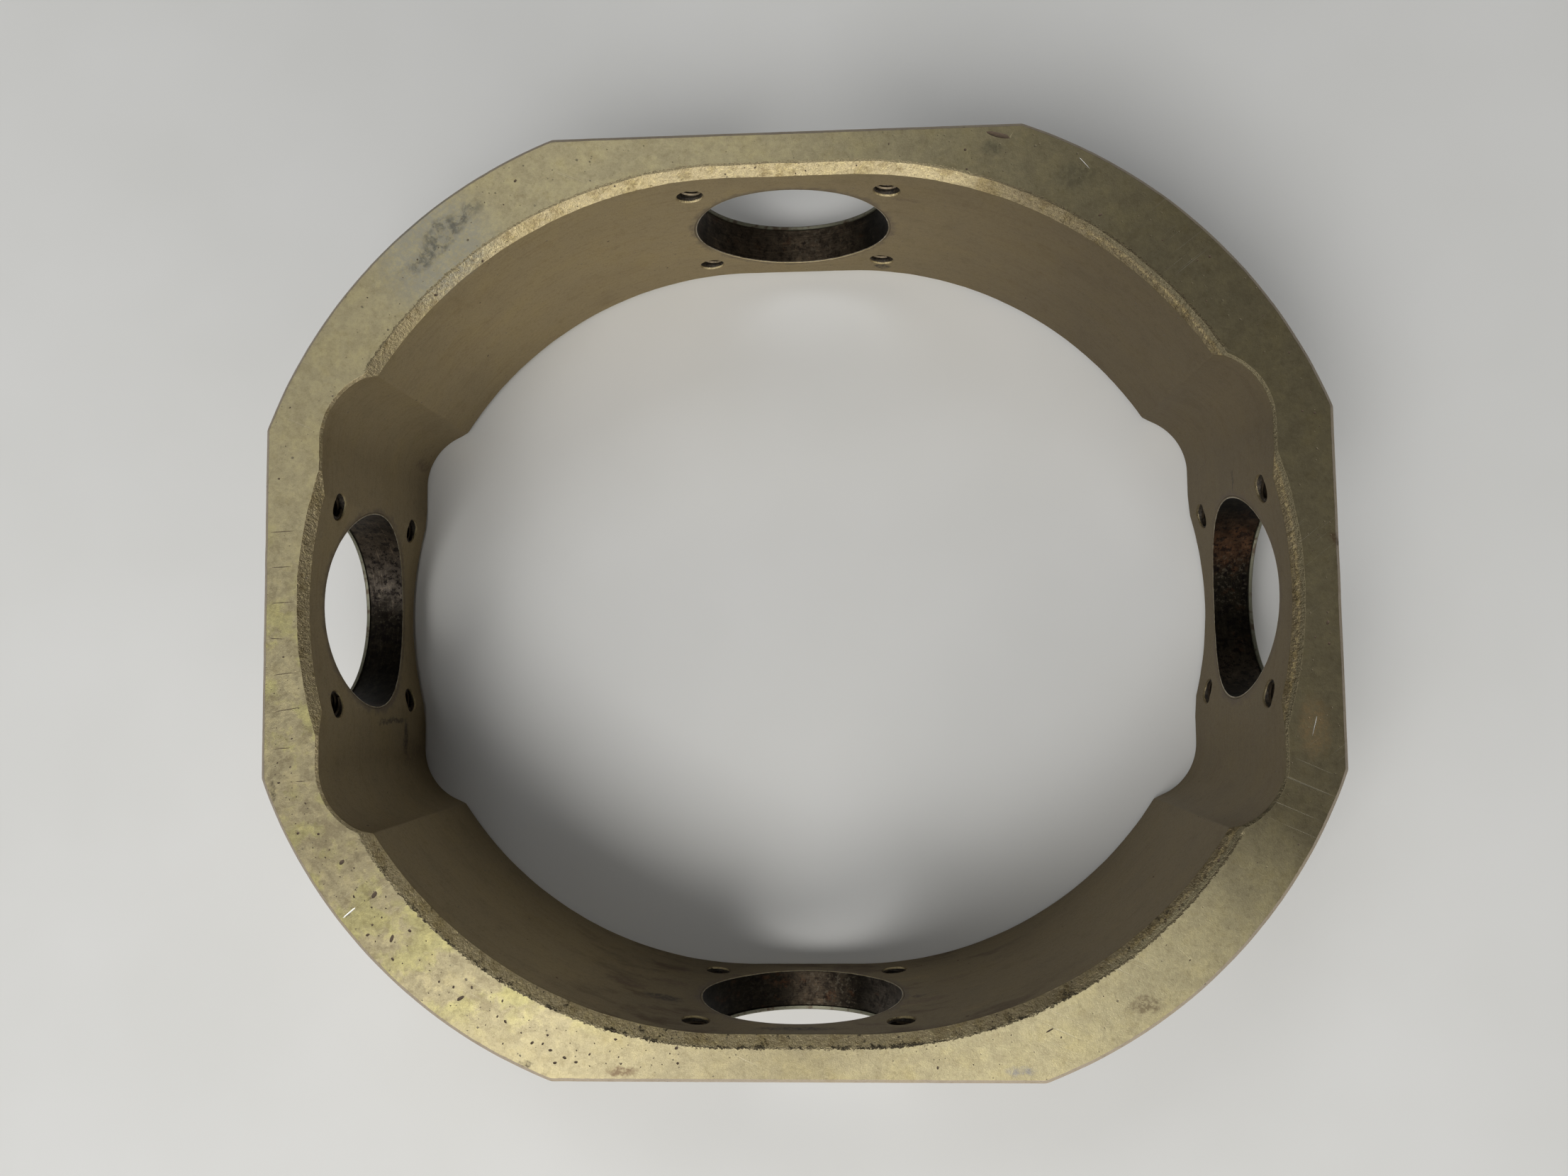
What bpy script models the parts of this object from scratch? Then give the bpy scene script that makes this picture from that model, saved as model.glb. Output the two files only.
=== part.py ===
"""Gimbal ring (cardan ring) with thin bore sleeves and wire thread inserts.

Frame: the origin is where the two bore axes cross, at mid-height of the ring.
+X runs along the left-right bore axis, +Y along the front-back bore axis, +Z is up.
Lengths are in metres.
"""

import math

import bmesh
import bpy

MM = 0.001

# Ring: four outer flats joined by corner arcs, and a straight-sided round opening.
# The corner arcs and the opening's end arcs share two centres on the X axis.
HALF_WIDTH = 127.0 * MM        # centre to the left and right flats
HALF_DEPTH = 112.3 * MM        # centre to the front and back flats
HEIGHT = 73.0 * MM
ARC_CENTRE_X = 14.6 * MM
OUTER_ARC_R = 120.0 * MM
INNER_ARC_R = 101.8 * MM
OUTER_BEVEL = 1.0 * MM         # 45 degree bevel around both outer rims
INNER_CHAMFER = 2.2 * MM       # 45 degree chamfer around both rims of the opening

# Side pockets: one rounded rectangle cut through the opening, wider than it is.
POCKET_HALF_X = 113.0 * MM
POCKET_HALF_Y = 55.6 * MM
POCKET_CORNER_R = 16.5 * MM
POCKET_EDGE_BREAK = 0.6 * MM

# Four bores on two crossing axes. Each is lined with a thin sleeve, pushed in from the
# inside up to a narrow lip at the outer flat.
BORE_R = 26.7 * MM
LIP_R = 25.4 * MM
LIP_LENGTH = 1.0 * MM
LIP_CHAMFER = 0.3 * MM         # on the outer flat
SLEEVE_OUTER_R = 26.4 * MM
SLEEVE_INNER_R = 25.8 * MM
SLEEVE_LIP_GAP = 0.3 * MM

# Tapped holes: a square of four around each bore, blind, drilled from the inside.
HOLE_OFFSET = 24.7 * MM        # half the hole spacing
HOLE_R = 3.15 * MM
HOLE_DEPTH = 8.4 * MM
HOLE_TIP = 1.2 * MM            # drill point below the full depth
HOLE_COUNTERSINK = 0.25 * MM

# Wire thread inserts: a coil of diamond-section wire inside each tapped hole.
INSERT_OUTER_R = 2.85 * MM
INSERT_INNER_R = 2.38 * MM
INSERT_PITCH = 0.907 * MM      # 28 turns to the inch
INSERT_TURNS = 6
INSERT_WIRE_HEIGHT = 0.62 * MM
INSERT_SETBACK = 1.1 * MM      # first turn below the wall

# Mesh resolution
CORNER_ARC_STEPS = 12
END_ARC_STEPS = 48
POCKET_ARC_STEPS = 7
BORE_STEPS = 48
HOLE_STEPS = 16
INSERT_STEPS_PER_TURN = 10
SHARP_ANGLE = math.radians(28.0)

OVERCUT = 2.0 * MM             # how far a cutter runs past the faces it opens

# Side name: which row axis its bore lies on, and which way it points.
SIDES = {
    "left": ("X", -1),
    "right": ("X", 1),
    "front": ("Y", -1),
    "back": ("Y", 1),
}
HOLE_CORNERS = ((-1, 1), (1, 1), (-1, -1), (1, -1))


def clear_scene():
    """Remove whatever the file opened with."""
    for obj in list(bpy.data.objects):
        bpy.data.objects.remove(obj, do_unlink=True)


def make_material(name, color, roughness, metallic):
    """One Principled material."""
    material = bpy.data.materials.new(name)
    material.use_nodes = True
    shader = material.node_tree.nodes["Principled BSDF"]
    shader.inputs["Base Color"].default_value = (*color, 1.0)
    shader.inputs["Roughness"].default_value = roughness
    shader.inputs["Metallic"].default_value = metallic
    return material


def object_from_bmesh(bm, name, material=None):
    """Link a bmesh as an object with its faces pointing out."""
    bmesh.ops.recalc_face_normals(bm, faces=bm.faces)
    mesh = bpy.data.meshes.new(name)
    bm.to_mesh(mesh)
    bm.free()
    if material:
        mesh.materials.append(material)
    obj = bpy.data.objects.new(name, mesh)
    bpy.context.collection.objects.link(obj)
    return obj


def shade_by_angle(obj):
    """Smooth round faces and keep machined edges sharp."""
    obj.data.shade_smooth()
    obj.data.set_sharp_from_angle(angle=SHARP_ANGLE)


def loft(loops, name, material=None):
    """Closed solid through loops that all have the same number of points."""
    bm = bmesh.new()
    rings = [[bm.verts.new(point) for point in loop] for loop in loops]
    count = len(rings[0])
    for low, high in zip(rings, rings[1:]):
        for i in range(count):
            j = (i + 1) % count
            bm.faces.new((low[i], low[j], high[j], high[i]))
    bm.faces.new(rings[0])
    bm.faces.new(rings[-1])
    return object_from_bmesh(bm, name, material)


def arc_points(centre_x, centre_y, radius, start, end, steps):
    """Points on an arc, both ends included; angles in radians."""
    points = []
    for i in range(steps + 1):
        angle = start + (end - start) * i / steps
        points.append((centre_x + radius * math.cos(angle), centre_y + radius * math.sin(angle)))
    return points


def outer_outline(inset):
    """Outer outline of the ring, moved inwards by inset."""
    half_x = HALF_WIDTH - inset
    half_y = HALF_DEPTH - inset
    radius = OUTER_ARC_R - inset
    start = math.acos((half_x - ARC_CENTRE_X) / radius)
    end = math.asin(half_y / radius)
    corner = arc_points(ARC_CENTRE_X, 0.0, radius, start, end, CORNER_ARC_STEPS)
    mirrored = [(-x, y) for x, y in reversed(corner)]
    upper = corner + mirrored
    lower = [(-x, -y) for x, y in upper]
    return upper + lower


def opening_outline(grow):
    """Outline of the straight-sided round opening, moved outwards by grow."""
    radius = INNER_ARC_R + grow
    quarter = math.pi / 2
    right = arc_points(ARC_CENTRE_X, 0.0, radius, -quarter, quarter, END_ARC_STEPS)
    left = [(-x, -y) for x, y in right]
    return right + left


def pocket_outline(grow):
    """Outline of the rounded rectangle that cuts the side pockets, moved outwards by grow."""
    radius = POCKET_CORNER_R + grow
    centre_x = POCKET_HALF_X - POCKET_CORNER_R
    centre_y = POCKET_HALF_Y - POCKET_CORNER_R
    quarter = math.pi / 2
    points = []
    for turn, (sx, sy) in enumerate(((1, 1), (-1, 1), (-1, -1), (1, -1))):
        start = turn * quarter
        points += arc_points(sx * centre_x, sy * centre_y, radius, start, start + quarter, POCKET_ARC_STEPS)
    return points


def at_height(outline, z):
    """Lift a 2-D outline to a height."""
    return [(x, y, z) for x, y in outline]


def vertical_cutter(outline, edge_cut, name):
    """Cutter through the full height whose ends flare at 45 degrees to cut edge_cut wide edges."""
    top = HEIGHT / 2
    flare = edge_cut + OVERCUT
    return loft(
        [
            at_height(outline(flare), -top - OVERCUT),
            at_height(outline(0.0), -top + edge_cut),
            at_height(outline(0.0), top - edge_cut),
            at_height(outline(flare), top + OVERCUT),
        ],
        name,
    )


def on_side(side, along, across, z):
    """Point at a distance along a side's bore axis, offset across it and up."""
    axis, sign = SIDES[side]
    if axis == "X":
        return (sign * along, across, z)
    return (across, sign * along, z)


def wall_position(side, across):
    """Distance from the centre to the opening's wall at an offset across the bore axis."""
    if SIDES[side][0] == "X":
        return ARC_CENTRE_X + math.sqrt(INNER_ARC_R ** 2 - across ** 2)
    past_centre = max(abs(across) - ARC_CENTRE_X, 0.0)
    return math.sqrt(INNER_ARC_R ** 2 - past_centre ** 2)


def flat_position(side):
    """Distance from the centre to a side's outer flat."""
    return HALF_WIDTH if SIDES[side][0] == "X" else HALF_DEPTH


def circle_on_side(side, along, radius, steps, centre=(0.0, 0.0)):
    """Loop of points around an axis parallel to a side's bore axis."""
    points = []
    for i in range(steps):
        angle = 2 * math.pi * (i + 0.5) / steps
        across = centre[0] + radius * math.cos(angle)
        up = centre[1] + radius * math.sin(angle)
        points.append(on_side(side, along, across, up))
    return points


def bore_cutter(side):
    """Cutter for one bore: plain up to the lip, narrower through it, flared at the outer flat."""
    flat = flat_position(side)
    flare = LIP_R + LIP_CHAMFER + OVERCUT
    return loft(
        [
            circle_on_side(side, flat / 2, BORE_R, BORE_STEPS),
            circle_on_side(side, flat - LIP_LENGTH, BORE_R, BORE_STEPS),
            circle_on_side(side, flat - LIP_LENGTH, LIP_R, BORE_STEPS),
            circle_on_side(side, flat - LIP_CHAMFER, LIP_R, BORE_STEPS),
            circle_on_side(side, flat + OVERCUT, flare, BORE_STEPS),
        ],
        "cutter_bore_" + side,
    )


def hole_centres(side):
    """The four (across, up) hole centres around a bore."""
    return [(sx * HOLE_OFFSET, sz * HOLE_OFFSET) for sx, sz in HOLE_CORNERS]


def hole_cutter(side, centre, name):
    """Cutter for one blind tapped hole with a small countersink and a drill point."""
    wall = wall_position(side, centre[0])
    mouth_r = HOLE_R + HOLE_COUNTERSINK + OVERCUT
    tip_r = HOLE_R * 0.15
    return loft(
        [
            circle_on_side(side, wall - OVERCUT, mouth_r, HOLE_STEPS, centre),
            circle_on_side(side, wall + HOLE_COUNTERSINK, HOLE_R, HOLE_STEPS, centre),
            circle_on_side(side, wall + HOLE_DEPTH, HOLE_R, HOLE_STEPS, centre),
            circle_on_side(side, wall + HOLE_DEPTH + HOLE_TIP, tip_r, HOLE_STEPS, centre),
        ],
        name,
    )


def cut(obj, cutters):
    """Subtract the cutters, keep the result as the object's mesh and delete the cutters."""
    for cutter in cutters:
        cutter.hide_render = True
        cutter.display_type = "WIRE"
        modifier = obj.modifiers.new("cut_" + cutter.name, "BOOLEAN")
        modifier.operation = "DIFFERENCE"
        modifier.object = cutter
    evaluated = obj.evaluated_get(bpy.context.evaluated_depsgraph_get())
    result = bpy.data.meshes.new_from_object(evaluated)
    obj.modifiers.clear()
    blank = obj.data
    obj.data = result
    bpy.data.meshes.remove(blank)
    result.name = obj.name
    for cutter in cutters:
        bpy.data.objects.remove(cutter, do_unlink=True)


def build_ring(material):
    """The machined ring: bevelled blank, opening, side pockets, bores and tapped holes."""
    top = HEIGHT / 2
    ring = loft(
        [
            at_height(outer_outline(OUTER_BEVEL), -top),
            at_height(outer_outline(0.0), -top + OUTER_BEVEL),
            at_height(outer_outline(0.0), top - OUTER_BEVEL),
            at_height(outer_outline(OUTER_BEVEL), top),
        ],
        "gimbal_ring",
        material,
    )
    cutters = [
        vertical_cutter(opening_outline, INNER_CHAMFER, "cutter_opening"),
        vertical_cutter(pocket_outline, POCKET_EDGE_BREAK, "cutter_pockets"),
    ]
    for side in SIDES:
        cutters.append(bore_cutter(side))
        for number, centre in enumerate(hole_centres(side), 1):
            cutters.append(hole_cutter(side, centre, f"cutter_hole_{side}_{number}"))
    cut(ring, cutters)
    shade_by_angle(ring)
    return ring


def build_sleeve(side, material):
    """Thin sleeve in one bore: its inner end follows the wall, its outer end is square."""
    square_end = flat_position(side) - LIP_LENGTH - SLEEVE_LIP_GAP
    bm = bmesh.new()
    rings = []
    for radius, at_wall in (
        (SLEEVE_INNER_R, True),
        (SLEEVE_OUTER_R, True),
        (SLEEVE_OUTER_R, False),
        (SLEEVE_INNER_R, False),
    ):
        loop = []
        for i in range(BORE_STEPS):
            angle = 2 * math.pi * (i + 0.5) / BORE_STEPS
            across = radius * math.cos(angle)
            along = wall_position(side, across) if at_wall else square_end
            loop.append(bm.verts.new(on_side(side, along, across, radius * math.sin(angle))))
        rings.append(loop)
    for ring, following in zip(rings, rings[1:] + rings[:1]):
        for i in range(BORE_STEPS):
            j = (i + 1) % BORE_STEPS
            bm.faces.new((ring[i], ring[j], following[j], following[i]))
    sleeve = object_from_bmesh(bm, "bore_sleeve_" + side, material)
    shade_by_angle(sleeve)
    return sleeve


def build_insert(side, number, centre, material):
    """Wire coil in one tapped hole: a diamond section swept along a right-handed helix."""
    start = wall_position(side, centre[0]) + INSERT_SETBACK
    axis, sign = SIDES[side]
    twist = sign if axis == "X" else -sign
    middle_r = (INSERT_OUTER_R + INSERT_INNER_R) / 2
    half_wire = INSERT_WIRE_HEIGHT / 2
    section = (
        (INSERT_OUTER_R, 0.0),
        (middle_r, half_wire),
        (INSERT_INNER_R, 0.0),
        (middle_r, -half_wire),
    )
    steps = INSERT_TURNS * INSERT_STEPS_PER_TURN
    bm = bmesh.new()
    rings = []
    for i in range(steps + 1):
        turn = i / INSERT_STEPS_PER_TURN
        angle = twist * 2 * math.pi * turn
        loop = []
        for radius, shift in section:
            across = centre[0] + radius * math.cos(angle)
            up = centre[1] + radius * math.sin(angle)
            loop.append(bm.verts.new(on_side(side, start + INSERT_PITCH * turn + shift, across, up)))
        rings.append(loop)
    for low, high in zip(rings, rings[1:]):
        for i in range(len(section)):
            j = (i + 1) % len(section)
            bm.faces.new((low[i], low[j], high[j], high[i]))
    bm.faces.new(rings[0])
    bm.faces.new(rings[-1])
    insert = object_from_bmesh(bm, f"thread_insert_{side}_{number}", material)
    shade_by_angle(insert)
    return insert


def build():
    """Model every piece of the ring."""
    clear_scene()
    chromated = make_material("chromated_aluminium", (0.40, 0.36, 0.21), 0.5, 0.7)
    stained = make_material("stained_steel", (0.13, 0.10, 0.08), 0.6, 0.8)
    wire = make_material("insert_wire", (0.62, 0.61, 0.58), 0.3, 1.0)
    build_ring(chromated)
    for side in SIDES:
        build_sleeve(side, stained)
        for number, centre in enumerate(hole_centres(side), 1):
            build_insert(side, number, centre, wire)


build()
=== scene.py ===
"""Looks of the gimbal ring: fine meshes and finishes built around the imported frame.

Row frame: the origin is where the two bore axes cross, at mid-height. +X runs along the left-right
bore axis, +Y along the front-back one, +Z is up. Lengths are in metres; the shaders work in mm.
"""

import math
import random

import bmesh
import bpy
from mathutils import Euler, Matrix, Vector, noise


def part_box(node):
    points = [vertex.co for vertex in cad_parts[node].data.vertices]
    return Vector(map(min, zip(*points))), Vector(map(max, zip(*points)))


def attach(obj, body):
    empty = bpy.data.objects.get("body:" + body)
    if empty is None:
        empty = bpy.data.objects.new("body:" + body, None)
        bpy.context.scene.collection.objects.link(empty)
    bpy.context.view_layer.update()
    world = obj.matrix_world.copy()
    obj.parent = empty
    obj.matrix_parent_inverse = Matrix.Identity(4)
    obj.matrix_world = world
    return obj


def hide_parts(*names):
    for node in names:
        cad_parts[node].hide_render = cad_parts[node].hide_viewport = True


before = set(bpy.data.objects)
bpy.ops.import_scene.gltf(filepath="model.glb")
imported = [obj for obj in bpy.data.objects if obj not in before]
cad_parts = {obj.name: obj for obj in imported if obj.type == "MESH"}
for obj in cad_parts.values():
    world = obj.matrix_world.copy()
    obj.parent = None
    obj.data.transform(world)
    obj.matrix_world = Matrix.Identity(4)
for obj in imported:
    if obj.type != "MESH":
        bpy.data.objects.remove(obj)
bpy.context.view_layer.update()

MM = 0.001

# Ring outline, as in the frame
HALF_WIDTH, HALF_DEPTH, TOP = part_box("gimbal_ring")[1]
ARC_CENTRE_X = 14.6 * MM
OUTER_ARC_R = 120.0 * MM
INNER_ARC_R = 101.8 * MM
OUTER_BEVEL = 1.0 * MM
INNER_CHAMFER = 2.2 * MM
POCKET_HALF_X = 113.0 * MM
POCKET_HALF_Y = 55.6 * MM
POCKET_CORNER_R = 16.5 * MM
POCKET_EDGE_BREAK = 0.6 * MM

# Edges as a file and a tumbler leave them
EDGE_ROUND = 0.18 * MM         # rounding of a chamfer's two corners
CORNER_TRIM = 0.4 * MM         # how far an upright corner is rounded back
BORE_MOUTH_ROUND = 0.2 * MM
HOLE_MOUTH_ROUND = 0.5 * MM
CHAMFER_WANDER = 0.09          # share by which a hand-cut chamfer changes width
WANDER_PER_METRE = 160.0

# Bores and sleeves. In the frame they stand 0.3 mm apart; here the sleeve is a press fit.
SLEEVE_INNER_R = 25.8 * MM
SLEEVE_OUTER_R = 26.4 * MM
BORE_R = 26.42 * MM
LIP_R = 25.4 * MM
LIP_LENGTH = 1.0 * MM
LIP_CHAMFER = 0.3 * MM
SLEEVE_SETBACK = 0.06 * MM
SLEEVE_EDGE = 0.14 * MM

# Tapped holes and wire inserts; both follow one helix
THREAD_MINOR_R = 2.95 * MM
THREAD_DEPTH = 0.35 * MM
THREAD_FLANK_SHARE = 0.85      # share of the pitch that the groove takes at its mouth
HOLE_DEPTH = 8.4 * MM
HOLE_TIP = 1.2 * MM
DRILL_TIP_R = THREAD_MINOR_R * 0.1
PITCH = 0.907 * MM
INSERT_TURNS = 6
LEAD_PER_HOLE, LEAD_PER_SIDE = 0.13, 0.21      # turns by which coils start apart, so that no two match
WIRE_CORNER, WIRE_TRIM = 0.16, 0.12            # rounding of the wire's section
INSERT_SETBACK = 0.75 * MM
WIRE_OUTER_R = 3.22 * MM
WIRE_INNER_R = 2.36 * MM
WIRE_HALF_HEIGHT = 0.36 * MM

# Mesh resolution
OUTER_ARC_STEPS = 85
SIDE_FLAT_STEPS, END_FLAT_STEPS = 34, 46       # along half of an outer flat
MIDDLE_STEPS, POCKET_WALL_STEPS, POCKET_CORNER_STEPS = 22, 12, 24
OPENING_ARC_STEPS, OPENING_FLAT_STEPS = 80, 12
ROUND_STEPS = 4
BORE_STEPS = 144
HOLE_STEPS = 28
THREAD_STEPS_PER_PITCH = 6
WIRE_STEPS_PER_TURN = 28

OVERCUT = 2.0 * MM
MERGE_REACH = 0.01 * MM        # after a cut, points closer than this become one
CLEAN_ROUNDS = 3
SMOOTH_ANGLE = math.radians(32.0)

# Material slots of the ring's mesh
SKIN, BARE, THREAD, GRIME, FRESH = range(5)

HOLE_NUMBERS = range(1, 5)
SIDES = {"left": ("X", -1), "right": ("X", 1), "front": ("Y", -1), "back": ("Y", 1)}

# ---------------------------------------------------------------- outlines

def arc_points(centre, radius, start, end, steps):
    """Evenly spaced points on an arc, both ends included."""
    angles = [start + (end - start) * i / steps for i in range(steps + 1)]
    return [Vector((centre[0] + radius * math.cos(a), centre[1] + radius * math.sin(a))) for a in angles]


def soften(pieces):
    """Join pieces of an outline end to end and round the corners where they meet."""
    points = list(pieces[0])
    for piece in pieces[1:]:
        corner = points.pop()
        before = corner + (points[-1] - corner).normalized() * CORNER_TRIM
        after = corner + (piece[1] - corner).normalized() * CORNER_TRIM
        for i in range(ROUND_STEPS + 1):
            u = i / ROUND_STEPS
            points.append(before.lerp(corner, u).lerp(corner.lerp(after, u), u))
        points += piece[1:]
    return points


def whole(quarter):
    """Mirror a quarter outline, from the +X axis to the +Y axis, into a counter-clockwise loop."""
    inner = quarter[1:-1]
    half = quarter + [Vector((-p.x, p.y)) for p in reversed(inner)]
    return half + [Vector((-p.x, -p.y)) for p in half]


def outer_outline(inset):
    """Outer outline of the ring, moved inwards by inset."""
    half_x, half_y, radius = HALF_WIDTH - inset, HALF_DEPTH - inset, OUTER_ARC_R - inset
    start = math.acos((half_x - ARC_CENTRE_X) / radius)
    end = math.asin(half_y / radius)
    arc = arc_points((ARC_CENTRE_X, 0.0), radius, start, end, OUTER_ARC_STEPS)
    side = spread(Vector((half_x, 0.0)), arc[0], SIDE_FLAT_STEPS)
    end_flat = spread(arc[-1], Vector((0.0, half_y)), END_FLAT_STEPS)
    return whole(soften([side, arc, end_flat]))


def spread(start, end, steps):
    """A fixed number of steps along a straight line, so that loops match point for point."""
    return [start.lerp(end, i / steps) for i in range(steps + 1)]


def opening_outline(arc_grow, pocket_grow):
    """Outline of the opening with its side pockets; each is moved outwards by its own amount."""
    radius = INNER_ARC_R + arc_grow
    corner_r = POCKET_CORNER_R + pocket_grow
    corner = Vector((POCKET_HALF_X - POCKET_CORNER_R, POCKET_HALF_Y - POCKET_CORNER_R))
    end_x = POCKET_HALF_X + pocket_grow
    end_angle = math.acos((end_x - ARC_CENTRE_X) / radius)
    centre = Vector((ARC_CENTRE_X, 0.0))
    apart = corner - centre
    along = (radius ** 2 - corner_r ** 2 + apart.length_squared) / (2 * apart.length)
    meet_angle = math.atan2(apart.y, apart.x) + math.acos(along / radius)
    meet = centre + radius * Vector((math.cos(meet_angle), math.sin(meet_angle)))
    corner_angle = math.atan2(meet.y - corner.y, meet.x - corner.x)
    middle = arc_points(centre, radius, 0.0, end_angle, MIDDLE_STEPS)
    pocket = spread(middle[-1], Vector((end_x, corner.y)), POCKET_WALL_STEPS)
    pocket += arc_points(corner, corner_r, 0.0, corner_angle, POCKET_CORNER_STEPS)[1:]
    arc = arc_points(centre, radius, meet_angle, math.pi / 2, OPENING_ARC_STEPS)
    arc += spread(arc[-1], Vector((0.0, radius)), OPENING_FLAT_STEPS)[1:]
    return whole(soften([middle, pocket, arc]))


# ---------------------------------------------------------------- rounded chamfers

HALF_TURN = math.tan(math.radians(22.5))
BOW = 1 - math.cos(math.radians(45.0))


def flare(depth, size):
    """How far a 45 degree chamfer is cut back at a depth below the face, both corners rounded."""
    r = EDGE_ROUND
    if depth < BOW * r:
        return size + HALF_TURN * r - math.sqrt(r * r - (r - depth) ** 2)
    if depth <= size - BOW * r:
        return size - depth
    if depth < size + HALF_TURN * r:
        return r - math.sqrt(r * r - (depth - size - HALF_TURN * r) ** 2)
    return 0.0


def edge_depths(*sizes):
    """Depths at which an edge with these chamfer sizes needs a loop, from the face down."""
    turns = [math.radians(45.0) * i / ROUND_STEPS for i in range(ROUND_STEPS + 1)]
    depths = [EDGE_ROUND * (1 - math.cos(turn)) for turn in turns]
    for size in sizes:
        depths += [size + (HALF_TURN - math.sin(turn)) * EDGE_ROUND for turn in turns]
    return sorted(set(round(depth, 8) for depth in depths))


def wander(point, seed):
    """Slow, smooth change of a chamfer's width along its edge."""
    place = Vector((point.x, point.y, seed * 0.1)) * WANDER_PER_METRE
    return 1.0 + CHAMFER_WANDER * (noise.noise(place) + 0.5 * noise.noise(place * 4.1))


def edge_loop(outline, depth, side, seed):
    """One loop of an edge. outline(depth) gives its points, side is +1 for the top and -1 below."""
    base = outline(1.0)
    loop = []
    for start, moved in zip(base, outline(depth)):
        share = wander(start, seed)
        flat = start + (moved - start) * share
        loop.append(Vector((flat.x, flat.y, side * (TOP - depth * share))))
    return loop


def outer_at(depth):
    """Outer outline at a depth below the face."""
    return outer_outline(flare(depth, OUTER_BEVEL))


def opening_at(depth):
    """Outline of the opening at a depth below the face."""
    return opening_outline(flare(depth, INNER_CHAMFER), flare(depth, POCKET_EDGE_BREAK))


# ---------------------------------------------------------------- mesh helpers

def polar(vert):
    """Angle of a vertex round the Z axis, from 0 up to a full turn."""
    return math.atan2(vert.co.y, vert.co.x) % (2 * math.pi)


def zip_faces(bm, outer, inner):
    """Fill the flat face between two loops that both start on the +X axis."""
    i = j = 0
    while i < len(outer) or j < len(inner):
        a, b = outer[i % len(outer)], inner[j % len(inner)]
        next_a, next_b = outer[(i + 1) % len(outer)], inner[(j + 1) % len(inner)]
        angle_a = polar(next_a) if i + 1 < len(outer) else 2 * math.pi
        angle_b = polar(next_b) if j + 1 < len(inner) else 2 * math.pi
        if i < len(outer) and (j >= len(inner) or angle_a <= angle_b):
            bm.faces.new((a, next_a, b))
            i += 1
        else:
            bm.faces.new((a, next_b, b))
            j += 1


def skin_loops(bm, loops, slot=SKIN, closed=False, mouth=0):
    """Quads between loops of points; the first bands, as many as mouth, stay SKIN."""
    rings = [[bm.verts.new(point) for point in loop] for loop in loops]
    pairs = list(zip(rings, rings[1:] + rings[:1])) if closed else list(zip(rings, rings[1:]))
    for band, (low, high) in enumerate(pairs):
        for i in range(len(low)):
            j = (i + 1) % len(low)
            face = bm.faces.new((low[i], low[j], high[j], high[i]))
            face.material_index = SKIN if band < mouth else slot
    return rings


def add_solid(bm, loops, slot, mouth):
    """Closed solid through loops of points, with flat ends."""
    rings = skin_loops(bm, loops, slot, mouth=mouth)
    bm.faces.new(rings[0]).material_index = slot
    bm.faces.new(rings[-1]).material_index = slot


def finish_mesh(bm, name, materials):
    """Turn a bmesh into an object with its faces pointing out."""
    bmesh.ops.recalc_face_normals(bm, faces=bm.faces)
    mesh = bpy.data.meshes.new(name)
    bm.to_mesh(mesh)
    bm.free()
    for material in materials:
        mesh.materials.append(material)
    obj = bpy.data.objects.new(name, mesh)
    bpy.context.scene.collection.objects.link(obj)
    return obj


def shade(obj):
    """Smooth round faces, keep machined edges crisp, and let the large faces set the normals."""
    obj.data.shade_smooth()
    obj.data.set_sharp_from_angle(angle=SMOOTH_ANGLE)
    weighted = obj.modifiers.new("weighted_normals", "WEIGHTED_NORMAL")
    weighted.keep_sharp = True


# ---------------------------------------------------------------- places on the ring

def on_side(side, along, across, z):
    """Point at a distance along a side's bore axis, offset across it and up."""
    axis, sign = SIDES[side]
    if axis == "X":
        return Vector((sign * along, across, z))
    return Vector((across, sign * along, z))


def wall_position(side, across):
    """Distance from the centre to the opening's wall at an offset across the bore axis."""
    if SIDES[side][0] == "X":
        return max(ARC_CENTRE_X + math.sqrt(INNER_ARC_R ** 2 - across ** 2), POCKET_HALF_X)
    past_centre = max(abs(across) - ARC_CENTRE_X, 0.0)
    return math.sqrt(INNER_ARC_R ** 2 - past_centre ** 2)


def flat_position(side):
    """Distance from the centre to a side's outer flat."""
    return HALF_WIDTH if SIDES[side][0] == "X" else HALF_DEPTH


def hole_centre(side, number):
    """(across, up) of a tapped hole's axis, from its insert in the frame."""
    low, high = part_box(f"thread_insert_{side}_{number}")
    middle = (low + high) / 2
    return (middle.y if SIDES[side][0] == "X" else middle.x), middle.z


def helix_sign(side):
    """Turning sense, in (across, up), of a right-handed helix that runs outwards on this side."""
    axis, sign = SIDES[side]
    return sign if axis == "X" else -sign


def round_point(side, along, radius, angle, centre):
    """Point at an angle and radius round an axis that crosses (across, up) at centre."""
    across, up = centre[0] + radius * math.cos(angle), centre[1] + radius * math.sin(angle)
    return on_side(side, along, across, up)


def circle(side, radius, steps, along, centre=(0.0, 0.0)):
    """Loop round a bore's or a hole's axis; along is a number, or a function of the offset across."""
    points = []
    for i in range(steps):
        angle = 2 * math.pi * (i + 0.5) / steps
        distance = along(centre[0] + radius * math.cos(angle)) if callable(along) else along
        points.append(round_point(side, distance, radius, angle, centre))
    return points


# ---------------------------------------------------------------- cutters

MOUTH_SWEEP = math.radians(70.0)
MOUTH_REACH = 0.6 * MM
CAP_REACH = 6.0 * MM


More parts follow.
